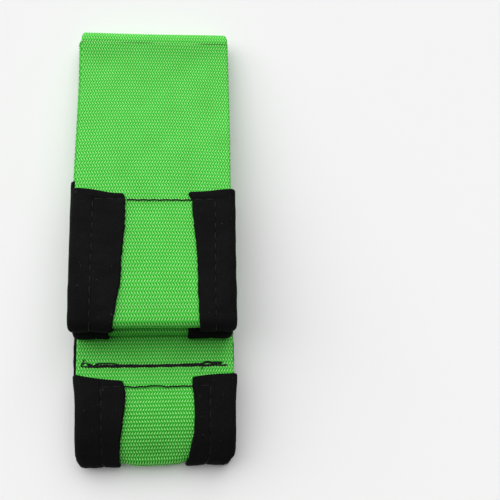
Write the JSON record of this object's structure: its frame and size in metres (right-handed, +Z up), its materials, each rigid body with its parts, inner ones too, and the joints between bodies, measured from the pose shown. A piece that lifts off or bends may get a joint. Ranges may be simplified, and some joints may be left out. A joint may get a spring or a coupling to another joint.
{
  "type": "leg band",
  "caption": "Closed loop of green woven webbing with soft black pads sewn round its bends, folded flat into lobes that lift about the plain end.",
  "frame": {"origin": "centre of the folded band's footprint, on its underside", "axes": "+X across the webbing, +Y from the padded bends to the plain bends, +Z up through the stack of plies"},
  "size_m": [0.0522, 0.147, 0.0243],
  "materials": {
    "webbing": "woven, slightly glossy",
    "pad": "matt fine knit over foam",
    "thread": "matt twisted thread"
  },
  "bodies": {
    "lower_loop": {"web_lower": "webbing", "pad_lower": "pad", "stitch_lower": "thread", "seam": "thread", "seam_tails": "thread"},
    "middle_loop": {"web_middle": "webbing", "pad_middle": "pad", "stitch_middle": "thread"},
    "upper_loop": {"web_upper": "webbing", "pad_upper": "pad", "stitch_upper": "thread"}
  },
  "joints": [
    {"name": "middle_fold", "type": "hinge", "parent": "lower_loop", "child": "middle_loop", "pos_m": [0, 0.07352, 0.00465], "axis": [-1, 0, 0], "range_deg": [0, 85]},
    {"name": "upper_fold", "type": "hinge", "parent": "middle_loop", "child": "upper_loop", "pos_m": [0, 0.07352, 0.00465], "axis": [-1, 0, 0], "range_deg": [0, 85]}
  ]
}
